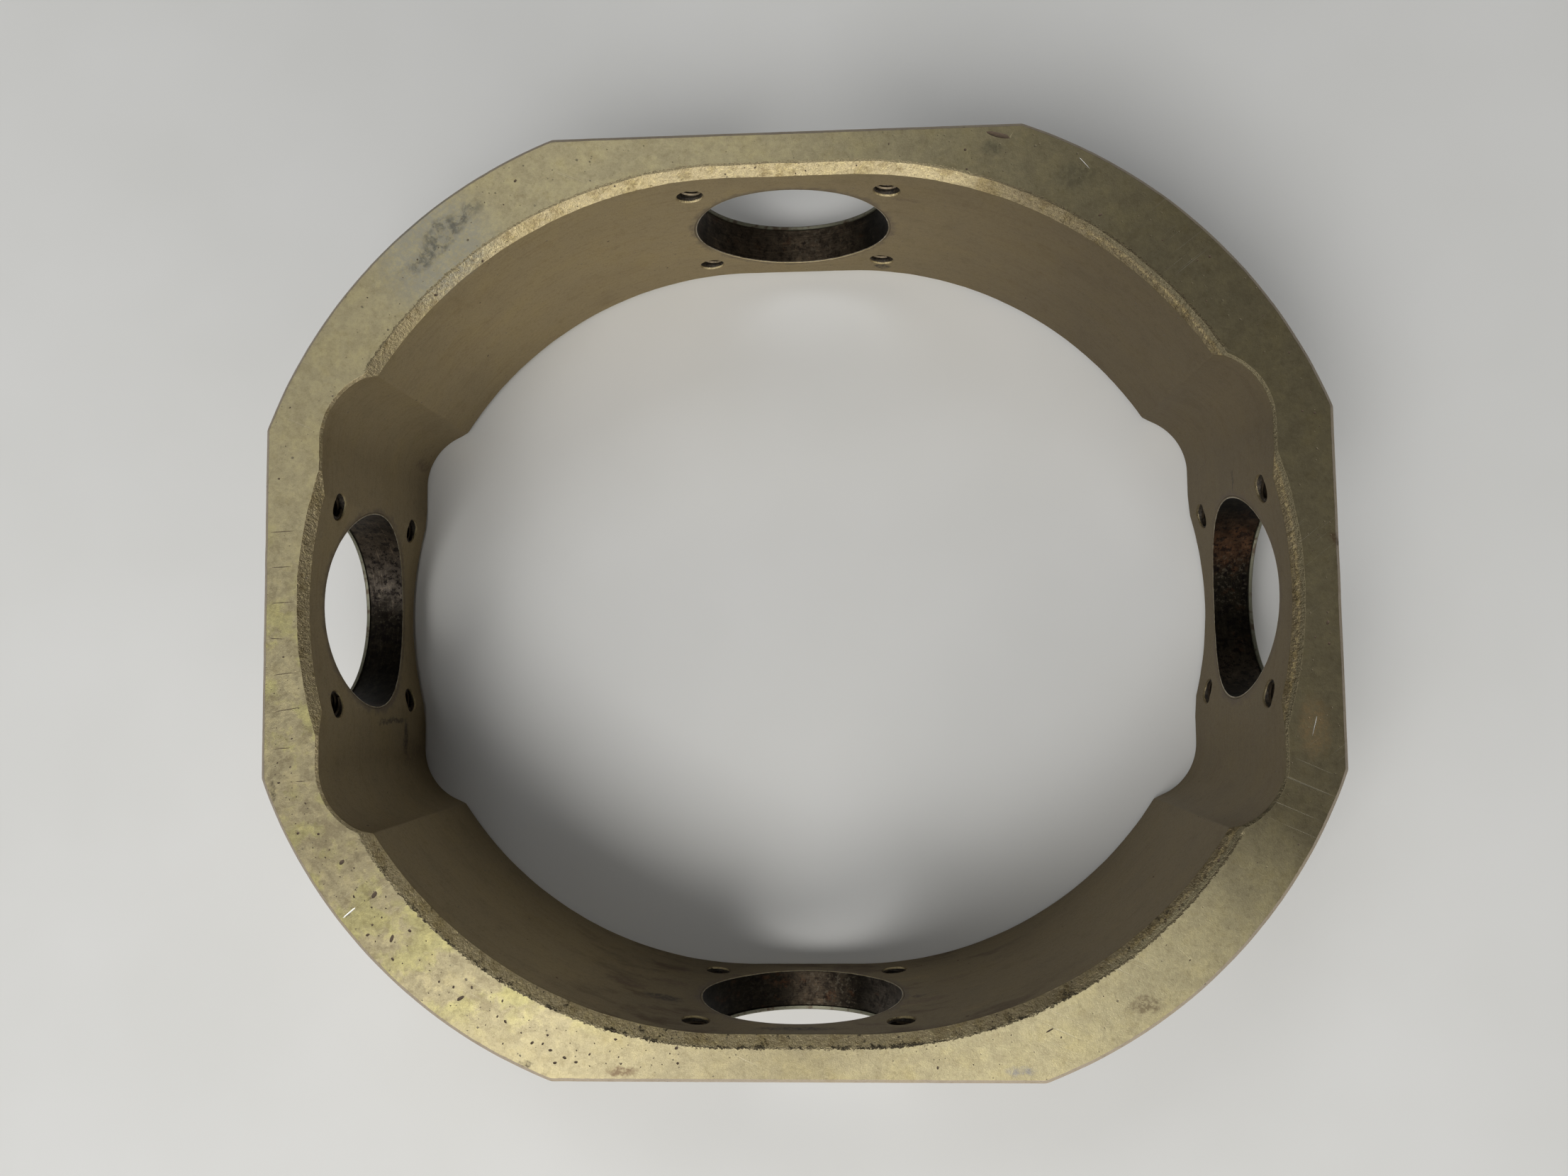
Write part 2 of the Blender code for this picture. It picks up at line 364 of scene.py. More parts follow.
def mouth_loops(side, radius, rounding, steps, centre=(0.0, 0.0)):
    """Loops of a rounded mouth that follows the curved wall, from the opening inwards."""
    wide = radius + rounding * (1 - math.cos(MOUTH_SWEEP))
    wide += (MOUTH_REACH + rounding * (1 - math.sin(MOUTH_SWEEP))) * math.tan(MOUTH_SWEEP)
    nearest = min(wall_position(side, centre[0] + s * wide) for s in (-1, 0, 1))
    loops = [circle(side, wide, steps, nearest - CAP_REACH, centre)]
    loops.append(circle(side, wide, steps, lambda a: wall_position(side, a) - MOUTH_REACH, centre))
    for i in range(ROUND_STEPS + 1):
        sweep = MOUTH_SWEEP * (1 - i / ROUND_STEPS)
        out = radius + rounding * (1 - math.cos(sweep))
        down = rounding * (1 - math.sin(sweep))
        loops.append(circle(side, out, steps, lambda a: wall_position(side, a) + down, centre))
    return loops


def add_bore_cutter(bm, side):
    """One bore: rounded mouth, plain seat for the sleeve, narrow lip at the outer flat."""
    flat = flat_position(side)
    loops = mouth_loops(side, BORE_R, BORE_MOUTH_ROUND, BORE_STEPS)
    mouth = len(loops) - 1
    for radius, along in ((BORE_R, flat - LIP_LENGTH), (LIP_R, flat - LIP_LENGTH),
                          (LIP_R, flat - LIP_CHAMFER), (LIP_R + LIP_CHAMFER + OVERCUT, flat + OVERCUT)):
        loops.append(circle(side, radius, BORE_STEPS, along))
    add_solid(bm, loops, BARE, mouth)


def thread_radius(turn, angle, run_in):
    """Radius of the tapped thread; turn counts pitches along the hole, run_in fades the mouth."""
    phase = turn - angle / (2 * math.pi)
    off_centre = abs(phase - math.floor(phase + 0.5)) * 2
    groove = max(0.0, 1.0 - off_centre / THREAD_FLANK_SHARE)
    return THREAD_MINOR_R + THREAD_DEPTH * groove * min(1.0, max(0.0, run_in))


def add_hole_cutter(bm, side, number):
    """One tapped hole: rounded mouth, helical thread, drill point."""
    centre = hole_centre(side, number)
    wall = wall_position(side, centre[0])
    start = wall + INSERT_SETBACK
    loops = mouth_loops(side, THREAD_MINOR_R + THREAD_DEPTH, HOLE_MOUTH_ROUND, HOLE_STEPS, centre)
    mouth = len(loops) - 1
    first = wall + HOLE_MOUTH_ROUND * 2
    count = round((HOLE_DEPTH - 2 * HOLE_MOUTH_ROUND) / PITCH * THREAD_STEPS_PER_PITCH)
    for k in range(count + 1):
        along = first + k * PITCH / THREAD_STEPS_PER_PITCH
        loop = []
        for i in range(HOLE_STEPS):
            angle = 2 * math.pi * (i + 0.5) / HOLE_STEPS
            radius = thread_radius((along - start) / PITCH, helix_sign(side) * angle, (along - first) / PITCH)
            loop.append(round_point(side, along, radius, angle, centre))
        loops.append(loop)
    loops.append(circle(side, DRILL_TIP_R, HOLE_STEPS, along + HOLE_TIP, centre))
    add_solid(bm, loops, THREAD, mouth)


def add_dent(bm, place, normal, heading, half_length, half_width, depth, draw, slot=GRIME):
    """A shallow irregular hollow: a squashed ball whose middle lies on the surface."""
    up = Vector(normal).normalized()
    along = (Vector(heading) - up * up.dot(Vector(heading))).normalized()
    turned = Matrix((along, up.cross(along), up)).transposed().to_4x4()
    sizes = Matrix.Diagonal((half_length, half_width, depth, 1.0))
    ball = bmesh.ops.create_icosphere(bm, subdivisions=2, radius=1.0)
    for vert in ball["verts"]:
        vert.co = vert.co * draw.uniform(*DENT_UNEVEN)
        vert.co = Matrix.Translation(place) @ turned @ sizes @ vert.co
    for face in {face for vert in ball["verts"] for face in vert.link_faces}:
        face.material_index = slot


# Dents in the top face: degrees round the ring, share of the way across the rim,
# heading in degrees, then half length, half width and depth in mm.
DENTS = (
    (65, 0.8, -15, 3.0, 0.6, 0.20),
    (210, 0.5, 40, 0.8, 0.5, 0.15),
    (215, 0.4, 60, 1.0, 0.5, 0.15),
    (220, 0.6, 70, 1.0, 0.4, 0.10),
    (230, 0.6, 30, 1.0, 0.4, 0.15),
    (300, 0.4, 30, 1.0, 0.2, 0.10),
    (50, 0.3, 20, 0.5, 0.3, 0.10),
)

# Scratches down to bright metal, listed the same way
SCRATCHES = (
    (215, 0.8, 40, 2.0, 0.2, 0.05),
    (345, 0.5, 75, 2.5, 0.1, 0.05),
    (55, 0.8, -50, 2.0, 0.1, 0.05),
)

# Short nicks across the left flat: where they start and end in degrees, how many, and their ranges
NICKS_FROM, NICKS_TO, NICK_COUNT = 172.0, 200.0, 8
NICK_SHARE, NICK_HEADING, NICK_HALF_LENGTH = (0.5, 0.7), (-5, 9), (1.2, 3.2)
NICK_HALF_WIDTH, NICK_DEPTH = 0.1, 0.07

PIT_COUNTS = {"top": 64, "scarred": 100, "below": 44, "outside": 60, "inside": 42, "chamfer": 40}
PIT_CLEARANCE = 1.1 * MM
PIT_SIZE, PIT_SIZE_SPREAD = 0.12, 0.22         # mm
PIT_STRETCH = (1.0, 1.7)
DENT_UNEVEN = (0.88, 1.1)
SCARRED_BELOW = -140.0 * MM    # x + y of the outer edge, for the marked corner at the front left
RIM_REACH, SIDE_FLAT_REACH = (0.895, 0.975), (0.935, 0.975)    # where pits lie, as shares of the outline
SIDE_FLAT_FROM = 0.9                           # share of the half width where the side flats are near
CHAMFER_REACH = (0.3, 1.8)                     # mm
WALL_REACH = 0.88                              # share of the half height
BORE_CLEARANCE = 39.0 * MM


def rim_place(degrees, share):
    """Point on the top face, share 0 at the opening's round wall and 1 at the outer edge."""
    turn = math.radians(degrees)
    ahead = Vector((math.cos(turn), math.sin(turn), 0.0))
    offset = ARC_CENTRE_X * abs(ahead.x)
    inner, arc = [offset + math.sqrt(offset ** 2 - ARC_CENTRE_X ** 2 + radius ** 2)
                  for radius in (INNER_ARC_R, OUTER_ARC_R)]
    flats = [half / abs(part) for half, part in ((HALF_WIDTH, ahead.x), (HALF_DEPTH, ahead.y)) if part]
    outer = min(arc, *flats)
    return ahead * (inner + (outer - inner) * share) + Vector((0.0, 0.0, TOP))


def clear_of_bores(point):
    """True if a point on the inner wall is away from the bores and the tapped holes."""
    across = min(abs(point.x), abs(point.y))
    return math.hypot(across, point.z) > BORE_CLEARANCE


def outline_place(outline, draw):
    """A random place on an outline and its outward normal."""
    i = draw.randrange(len(outline))
    tangent = outline[(i + 1) % len(outline)] - outline[i - 1]
    return outline[i], Vector((tangent.y, -tangent.x, 0.0)).normalized()


def random_pit(zone, draw, outer, opening):
    """A random place in a zone: point and surface normal, or None where a pit can't be."""
    if zone in ("top", "scarred", "below"):
        face = -1 if zone == "below" else 1
        edge, _ = outline_place(outer, draw)
        if zone == "scarred" and edge.x + edge.y > SCARRED_BELOW:
            return None
        reach = draw.uniform(*RIM_REACH)
        if abs(edge.x) > HALF_WIDTH * SIDE_FLAT_FROM:
            reach = draw.uniform(*SIDE_FLAT_REACH)
        return Vector((edge.x * reach, edge.y * reach, face * TOP)), Vector((0.0, 0.0, face))
    if zone == "chamfer":
        edge, normal = outline_place(opening, draw)
        if abs(edge.y) < POCKET_HALF_Y + 2 * MM:
            return None
        slope = Vector((normal.x, normal.y, 0.0)) * draw.uniform(*CHAMFER_REACH) * MM
        rise = INNER_CHAMFER - slope.length
        point = Vector((edge.x, edge.y, TOP - rise)) + slope
        return point, Vector((-normal.x, -normal.y, 1.0)).normalized()
    height = draw.uniform(-WALL_REACH, WALL_REACH) * TOP
    edge, normal = outline_place(outer if zone == "outside" else opening, draw)
    point = Vector((edge.x, edge.y, height))
    if not clear_of_bores(point):
        return None
    return point, normal if zone == "outside" else -normal


def add_pits(bm):
    """Listed dents and scratches first, then nicks, then random pits that keep clear of them all."""
    draw = random.Random(11)
    outer, opening = outer_outline(0.0), opening_outline(0.0, 0.0)
    taken = []
    marks = [(GRIME, *mark) for mark in DENTS] + [(FRESH, *mark) for mark in SCRATCHES]
    for i in range(NICK_COUNT):
        degrees = NICKS_FROM + (NICKS_TO - NICKS_FROM) * i / (NICK_COUNT - 1)
        drawn = [draw.uniform(*limits) for limits in (NICK_SHARE, NICK_HEADING, NICK_HALF_LENGTH)]
        marks.append((GRIME, degrees, *drawn, NICK_HALF_WIDTH, NICK_DEPTH))
    for slot, degrees, share, heading, half_length, half_width, depth in marks:
        place = rim_place(degrees, share)
        turn = math.radians(heading)
        add_dent(bm, place, (0, 0, 1), (math.cos(turn), math.sin(turn), 0),
                 half_length * MM, half_width * MM, depth * MM, draw, slot)
        taken.append((place, half_length * MM))
    for zone, count in PIT_COUNTS.items():
        made = 0
        while made < count:
            found = random_pit(zone, draw, outer, opening)
            if found is None:
                continue
            point, normal = found
            size = (PIT_SIZE + PIT_SIZE_SPREAD * draw.random() ** 3) * MM
            if any((point - other).length < size + reach + PIT_CLEARANCE for other, reach in taken):
                continue
            heading = Vector((draw.uniform(-1, 1), draw.uniform(-1, 1), draw.uniform(-1, 1)))
            add_dent(bm, point, normal, heading, size * draw.uniform(*PIT_STRETCH), size, size * 0.5, draw)
            taken.append((point, size * PIT_STRETCH[1]))
            made += 1


# ---------------------------------------------------------------- pieces

def stand_in(piece, node):
    """Put a finished piece in the place of its node in the frame."""
    shade(piece)
    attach(piece, "root")
    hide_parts(node)


def build_ring(materials):
    """The machined ring: rounded and chamfered shell, then bores, threads, dents and pits."""
    outer_depths = edge_depths(OUTER_BEVEL)
    inner_depths = edge_depths(POCKET_EDGE_BREAK, INNER_CHAMFER)
    bm = bmesh.new()
    outer_loops = [edge_loop(outer_at, d, -1, 2) for d in outer_depths]
    outer_loops += [edge_loop(outer_at, d, 1, 1) for d in reversed(outer_depths)]
    inner_loops = [edge_loop(opening_at, d, -1, 4) for d in inner_depths]
    inner_loops += [edge_loop(opening_at, d, 1, 3) for d in reversed(inner_depths)]
    outer, inner = skin_loops(bm, outer_loops), skin_loops(bm, inner_loops)
    zip_faces(bm, outer[-1], inner[-1])
    zip_faces(bm, outer[0], inner[0])
    ring = finish_mesh(bm, "ring_body", materials)
    cutter = bmesh.new()
    for side in SIDES:
        add_bore_cutter(cutter, side)
        for number in HOLE_NUMBERS:
            add_hole_cutter(cutter, side, number)
    add_pits(cutter)
    cut(ring, finish_mesh(cutter, "ring_cutter", materials))
    stand_in(ring, "gimbal_ring")


def cut(obj, cutter):
    """Subtract the cutter from the object, then delete the cutter."""
    modifier = obj.modifiers.new("cut", "BOOLEAN")
    modifier.operation = "DIFFERENCE"
    modifier.solver = "EXACT"
    modifier.object = cutter
    bpy.context.view_layer.update()
    result = bpy.data.meshes.new_from_object(obj.evaluated_get(bpy.context.evaluated_depsgraph_get()))
    obj.modifiers.clear()
    blank = obj.data
    obj.data = result
    bpy.data.meshes.remove(blank)
    result.name = obj.name
    bpy.data.objects.remove(cutter, do_unlink=True)
    merge_slivers(result)


def merge_slivers(mesh):
    """Turn the cut mesh into triangles, without the slivers that a cut leaves."""
    bm = bmesh.new()
    bm.from_mesh(mesh)
    for _ in range(CLEAN_ROUNDS):
        bmesh.ops.triangulate(bm, faces=[face for face in bm.faces if len(face.verts) > 3])
        bmesh.ops.remove_doubles(bm, verts=bm.verts, dist=MERGE_REACH)
        bmesh.ops.dissolve_degenerate(bm, edges=bm.edges, dist=MERGE_REACH)
    bm.to_mesh(mesh)
    bm.free()


def sleeve_section():
    """A sleeve's rounded section: radius, distance from its nearer end, and if that is the outer end."""
    turns = [math.radians(90.0) * i / ROUND_STEPS for i in range(ROUND_STEPS + 1)]
    corners = ((SLEEVE_INNER_R, 1, False, turns), (SLEEVE_OUTER_R, -1, False, turns[::-1]),
               (SLEEVE_OUTER_R, -1, True, turns), (SLEEVE_INNER_R, 1, True, turns[::-1]))
    section = []
    for radius, inward, outer_end, order in corners:
        for turn in order:
            out = inward * SLEEVE_EDGE * (1 - math.cos(turn))
            section.append((radius + out, SLEEVE_EDGE * (1 - math.sin(turn)), outer_end))
    return section


def build_sleeve(side, material):
    """One sleeve, a closed tube whose inner end follows the curved wall."""
    square_end = flat_position(side) - LIP_LENGTH - 2 * SLEEVE_SETBACK
    loops = []
    for radius, down, outer_end in sleeve_section():
        def curved(across):
            return wall_position(side, across) + SLEEVE_SETBACK + down
        loops.append(circle(side, radius, BORE_STEPS, square_end - down if outer_end else curved))
    bm = bmesh.new()
    skin_loops(bm, loops, closed=True)
    stand_in(finish_mesh(bm, "sleeve_" + side, [material]), "bore_sleeve_" + side)


def build_insert(side, number, material):
    """Wire insert: a diamond section with rounded corners swept along the thread's helix."""
    centre = hole_centre(side, number)
    start = wall_position(side, centre[0]) + INSERT_SETBACK
    middle_r = (WIRE_OUTER_R + WIRE_INNER_R) / 2
    half_wide = (WIRE_OUTER_R - WIRE_INNER_R) / 2
    corners = [(half_wide, 0.0), (0.0, WIRE_HALF_HEIGHT), (-half_wide, 0.0), (0.0, -WIRE_HALF_HEIGHT)]
    section = []
    for k, corner in enumerate(corners):
        before, after = Vector(corners[k - 1]), Vector(corners[(k + 1) % 4])
        here = Vector(corner)
        inside = here.lerp(before, 0.5).lerp(here.lerp(after, 0.5), 0.5)
        section += [here.lerp(point, share) for point, share in
                    ((before, WIRE_CORNER), (inside, WIRE_TRIM), (after, WIRE_CORNER))]
    lead = LEAD_PER_HOLE * number + LEAD_PER_SIDE * list(SIDES).index(side)
    steps = round((INSERT_TURNS - lead) * WIRE_STEPS_PER_TURN)
    bm = bmesh.new()
    loops = []
    for i in range(steps + 1):
        turn = lead + i / WIRE_STEPS_PER_TURN
        angle = helix_sign(side) * 2 * math.pi * turn
        loop = []
        for out, shift in section:
            loop.append(round_point(side, start + PITCH * turn + shift, middle_r + out, angle, centre))
        loops.append(loop)
    add_solid(bm, loops, 0, 0)
    insert = finish_mesh(bm, f"insert_{side}_{number}", [material])
    stand_in(insert, f"thread_insert_{side}_{number}")


# ---------------------------------------------------------------- materials

class Graph:
    """Short hand for wiring one material's nodes. Textures work in millimetres."""

    def __init__(self, name):
        self.material = bpy.data.materials.new(name)
        self.material.use_nodes = True
        self.tree = self.material.node_tree
        self.shader = self.tree.nodes["Principled BSDF"]
        coordinates = self.node("ShaderNodeTexCoord").outputs["Object"]
        self.place = self.vector("SCALE", coordinates, scale=1.0 / MM)
        self.x, self.y, self.z = self.split(self.place)

    def node(self, kind, inputs=(), **settings):
        """A new node with its settings, and with values or links in its inputs."""
        node = self.tree.nodes.new(kind)
        for key, value in settings.items():
            setattr(node, key, value)
        for name, value in dict(inputs).items():
            self.put(node.inputs[name], value)
        return node

    def put(self, socket, value):
        if isinstance(value, bpy.types.NodeSocket):
            self.tree.links.new(value, socket)
        else:
            socket.default_value = value

    def set(self, name, value):
        self.put(self.shader.inputs[name], value)

    def math(self, operation, *values):
        node = self.node("ShaderNodeMath", operation=operation)
        for socket, value in zip(node.inputs, values):
            self.put(socket, value)
        return node.outputs[0]

    def add(self, a, b):
        return self.math("ADD", a, b)

    def less(self, a, b):
        return self.math("SUBTRACT", a, b)

    def size(self, value):
        return self.math("ABSOLUTE", value)

    def vector(self, operation, *values, scale=None):
        node = self.node("ShaderNodeVectorMath", operation=operation)
        for socket, value in zip(node.inputs, values):
            self.put(socket, value)
        if scale is not None:
            self.put(node.inputs["Scale"], scale)
        return node.outputs["Value" if operation in ("LENGTH", "DOT_PRODUCT") else "Vector"]

    def split(self, vector):
        return self.node("ShaderNodeSeparateXYZ", {"Vector": vector}).outputs

    def step(self, value, low, high):
        """0 below low, 1 above high, smooth between; low may be the larger."""
        inputs = {"Value": value, "From Min": min(low, high), "From Max": max(low, high)}
        if low > high:
            inputs.update({"To Min": 1.0, "To Max": 0.0})
        return self.node("ShaderNodeMapRange", inputs, interpolation_type="SMOOTHSTEP").outputs["Result"]

    def noise(self, vector, scale, detail=3.0, rough=0.55):
        inputs = {"Vector": vector, "Scale": scale, "Detail": detail, "Roughness": rough}
        return self.node("ShaderNodeTexNoise", inputs).outputs["Fac"]

    def stretched(self, heading, length_scale, width_scale, offset):
        """Position in mm, turned about Z and squeezed, for lines that run along a heading."""
        inputs = {"Vector": self.place, "Location": (offset, -offset, 0.0),
                  "Rotation": (0.0, 0.0, math.radians(heading)),
                  "Scale": (1 / length_scale, 1 / width_scale, 1 / length_scale)}
        return self.node("ShaderNodeMapping", inputs, vector_type="TEXTURE").outputs["Vector"]

    def cells(self, vector, scale):
        """Voronoi cells: distance to the nearest centre, and a random value for each cell."""
        node = self.node("ShaderNodeTexVoronoi", {"Vector": vector, "Scale": scale})
        return node.outputs["Distance"], self.split(node.outputs["Color"])[0]

    def mix(self, factor, a, b, blend="MIX"):
        node = self.node("ShaderNodeMix", data_type="RGBA", blend_type=blend)
        self.put(node.inputs[0], factor)
        for socket, value in ((node.inputs[6], a), (node.inputs[7], b)):
            self.put(socket, value if isinstance(value, bpy.types.NodeSocket) else (*value, 1.0))
        return node.outputs[2]

    def ramp(self, value, stops):
        """Colour ramp through (position, colour) stops."""
        node = self.node("ShaderNodeValToRGB")
        self.put(node.inputs[0], value)
        elements = node.color_ramp.elements
        while len(elements) < len(stops):
            elements.new(1.0)
        for element, (position, color) in zip(elements, stops):
            element.position = position
            element.color = (*color, 1.0)
        return node.outputs["Color"]

    def all(self, *values):
        """Product of several masks."""
        result = values[0]
        for value in values[1:]:
            result = self.math("MULTIPLY", result, value)
        return result

    def blot(self, warped, place, reach):
        """Mask of a soft-edged spot round a place in mm, with its reach along each axis."""
        scaled = self.vector("DIVIDE", self.vector("SUBTRACT", warped, place), reach)
        return self.step(self.vector("LENGTH", scaled), 1.0, 0.4)

    def tinted(self, base, *layers):
        """Base colour with tints multiplied in. Each layer is a value, the low and high of its step,
        how strongly it shows, and its tint."""
        for value, low, high, amount, tint in layers:
            mask = self.all(self.step(value, low, high), amount)
            base = self.mix(mask, base, self.mix(1.0, base, tint, "MULTIPLY"))
        return base

    def finish(self, color, metallic, roughness, relief, depth):
        """Set the shader; depth is the height of the relief in mm. Returns the material."""
        bump = self.node("ShaderNodeBump", {"Distance": depth * MM, "Height": relief}).outputs["Normal"]
        for name, value in (("Base Color", color), ("Metallic", metallic), ("Roughness", roughness),
                            ("Normal", bump)):
            self.set(name, value)
        return self.material


# Chromate film: its colour where it is darkest and palest; the darkest also serves as painted shade and the
# palest as painted highlight
FILM_DARK_AND_SHADED, FILM_PALE_AND_LIT = (0.15, 0.12, 0.07), (0.60, 0.50, 0.30)

# How pale it is round the ring, for each kind of surface: tint, then (degrees from +X, paleness)
# Besides the film's own changes, these ramps paint light: painted shade over the right of the face with a
# painted shadow edge at 335 degrees, painted shade on the right and front walls, and on the chamfer painted
# highlights at the back and front left and painted shade on the right
FILM_AND_SHADE_ROUND = {
    "face": ((0.95, 1.0, 1.0), ((0, 0.1), (45, 0.1), (90, 0.5), (165, 0.5), (210, 0.1), (240, 0.4),
                               (270, 0.2), (300, 0.8), (320, 0.7), (335, 0.0))),
    "wall": ((1.0, 0.95, 0.85), ((0, 0.0), (45, 0.0), (90, 0.3), (135, 0.4), (160, 0.2), (205, 0.2),
                                 (235, 0.3), (255, 0.0), (315, 0.1))),
    "chamfer": ((1.0, 1.0, 1.0), ((0, 0.0), (45, 0.0), (60, 0.2), (70, 1.0), (130, 1.0), (150, 0.3),
                                  (185, 0.3), (220, 1.0), (285, 0.9), (300, 0.3), (335, 0.0))),
}
BEVEL_COLOR = (0.42, 0.355, 0.275)
DIRT = (0.030, 0.024, 0.018)

INK = (0.030, 0.031, 0.032)
SMUDGE_PLACE = (-84.0, 88.0)   # mm
SMUDGE_LENGTH, SMUDGE_WIDTH, SMUDGE_DEPTH = 17.0, 3.6, 4.0

# Colours of the stains
OLIVE, BROWN, DARK_BROWN = (0.12, 0.11, 0.07), (0.11, 0.07, 0.04), (0.04, 0.03, 0.02)
RUSTY, GREY_GREEN, PALE_RUB = (0.28, 0.19, 0.09), (0.28, 0.27, 0.22), (0.22, 0.22, 0.24)

# Stains on the top face: degrees and share as for the dents, reach along x and y in mm, colour, strength
RIM_STAINS = (
    (65, 0.6, (3.5, 2.0), OLIVE, 0.6),
    (55, 0.6, (6.0, 4.0), OLIVE, 0.5),
    (5, 0.9, (1.5, 2.5), BROWN, 0.8),
    (250, 0.8, (4.5, 1.5), BROWN, 0.8),
    (310, 0.7, (5.0, 2.5), BROWN, 0.6),
    (295, 0.8, (4.5, 1.5), PALE_RUB, 0.6),
    (345, 0.5, (4.5, 9.0), RUSTY, 0.5),
    (200, 0.9, (1.0, 3.0), DARK_BROWN, 0.8),
    (240, 0.9, (2.0, 1.0), DARK_BROWN, 0.8),
    (135, 0.5, (20.0, 20.0), GREY_GREEN, 0.7),
)

# Stains on the inner wall: side, (across, up) from the bore's middle, reach (across, up), colour, strength
WALL_STAINS = (
    ("left", (-30, -10), (1.0, 13.0), DARK_BROWN, 0.8),
    ("left", (-35, -20), (6.0, 2.5), DARK_BROWN, 0.8),
    ("left", (-40, -25), (6.0, 12.0), BROWN, 0.4),
    ("left", (45, -30), (3.0, 8.0), BROWN, 0.5),
    ("right", (30, 5), (4.0, 0.8), DARK_BROWN, 0.8),
    ("right", (25, 0), (2.0, 6.0), DARK_BROWN, 0.7),
    ("right", (-25, 0), (2.0, 9.0), DARK_BROWN, 0.6),
    ("back", (25, -30), (3.0, 2.5), DARK_BROWN, 0.9),
    ("back", (30, 20), (5.0, 1.0), BROWN, 0.5),
    ("front", (-35, 10), (7.0, 3.5), DARK_BROWN, 0.9),
    ("front", (-45, 5), (9.0, 4.5), BROWN, 0.7),
    ("front", (30, 5), (2.0, 2.0), DARK_BROWN, 0.9),
    ("front", (30, 10), (12.0, 2.5), BROWN, 0.6),
    ("front", (40, -5), (9.0, 2.0), BROWN, 0.5),
    ("front", (-35, -5), (7.0, 3.0), BROWN, 0.5),
    ("front", (0, 30), (13.0, 2.0), DARK_BROWN, 0.9),
)
STAIN_DEPTH = 4.0    # mm, how far a stain reaches through the surface

SPECK_COLOR, SCRATCH_COLOR, MOUTH_DIRT = (0.07, 0.052, 0.035), (0.60, 0.56, 0.45), (0.080, 0.054, 0.030)
# Where the chamfer's marks lie, in mm outwards from the opening's wall
TORN_EDGE, DIRT_LINE, DULL_FROM, BRIGHT_RIM = 2.75, 2.35, 1.45, 1.15


def flow(graph, vector, scale, amount):
    """Position pushed about by noise, for ragged outlines."""
    node = graph.node("ShaderNodeTexNoise", {"Vector": vector, "Scale": scale, "Detail": 3.0})
    push = graph.vector("SUBTRACT", node.outputs["Color"], (0.5, 0.5, 0.5))
    return graph.vector("ADD", vector, graph.vector("SCALE", push, scale=amount))


def light_scratches(graph, heading, offset):
    """Thin long scratches along one heading, in a few patches."""
    lines = graph.noise(graph.stretched(heading, 0.035, 3.2, offset), 1.0, 1.0)
    thin = graph.step(lines, 0.680, 0.712)
    patches = graph.noise(graph.vector("ADD", graph.place, (offset * 3, offset, 0)), 0.035, 2.0)
    return graph.all(thin, graph.step(patches, 0.56, 0.70))


def from_opening(g):
    """Distance in mm outwards from the opening's wall, away from its side pockets."""
    straight = g.math("MAXIMUM", g.less(g.size(g.x), ARC_CENTRE_X / MM), 0.0)
    reach = g.math("SQRT", g.add(g.all(straight, straight), g.all(g.y, g.y)))
    return g.less(reach, INNER_ARC_R / MM)


def smudge(g):
    """Mask of a faint, uneven dark smear on the top face, drawn out along the back left rim."""
    ragged = flow(g, g.place, 0.16, 6.0)
    away = g.vector("SUBTRACT", ragged, (*SMUDGE_PLACE, TOP / MM))
    slant = math.sqrt(0.5)
    along = g.vector("DOT_PRODUCT", away, (slant / SMUDGE_LENGTH, slant / SMUDGE_LENGTH, 0.0))
    across = g.vector("DOT_PRODUCT", away, (slant / SMUDGE_WIDTH, -slant / SMUDGE_WIDTH, 0.0))
    down = g.vector("DOT_PRODUCT", away, (0.0, 0.0, 1.0 / SMUDGE_DEPTH))
    squares = g.add(g.add(g.all(along, along), g.all(across, across)), g.all(down, down))
    smears = g.noise(ragged, 0.36, 5.0, 0.68)
    fill = g.add(g.all(g.step(smears, 0.40, 0.60), 0.50), 0.12)
    return g.all(fill, g.step(g.math("SQRT", squares), 1.0, 0.45))


def film_and_shade_ramp(g, turn, tint, stops):
    """Colour of the film round the ring, with painted shade and painted highlights in it."""
    colors = []
    for degrees, pale in stops + ((360, stops[0][1]),):
        mixed = [(dark + (bright - dark) * pale) * t for dark, bright, t in zip(FILM_DARK_AND_SHADED, FILM_PALE_AND_LIT, tint)]
        colors.append((degrees / 360, tuple(mixed)))
    return g.ramp(g.math("FRACT", turn), colors)


def stain_places():
    """Every stain as place, reach along x, y and z, colour and strength, in mm."""
    for degrees, share, reach, color, strength in RIM_STAINS:
        yield tuple(rim_place(degrees, share) / MM), (*reach, STAIN_DEPTH), color, strength
    for side, (across, up), (wide, high), color, strength in WALL_STAINS:
        wall = wall_position(side, across * MM)
        reach = on_side(side, STAIN_DEPTH, wide, high)
        place = on_side(side, wall, across * MM, up * MM) / MM
        yield tuple(place), tuple(abs(part) for part in reach), color, strength


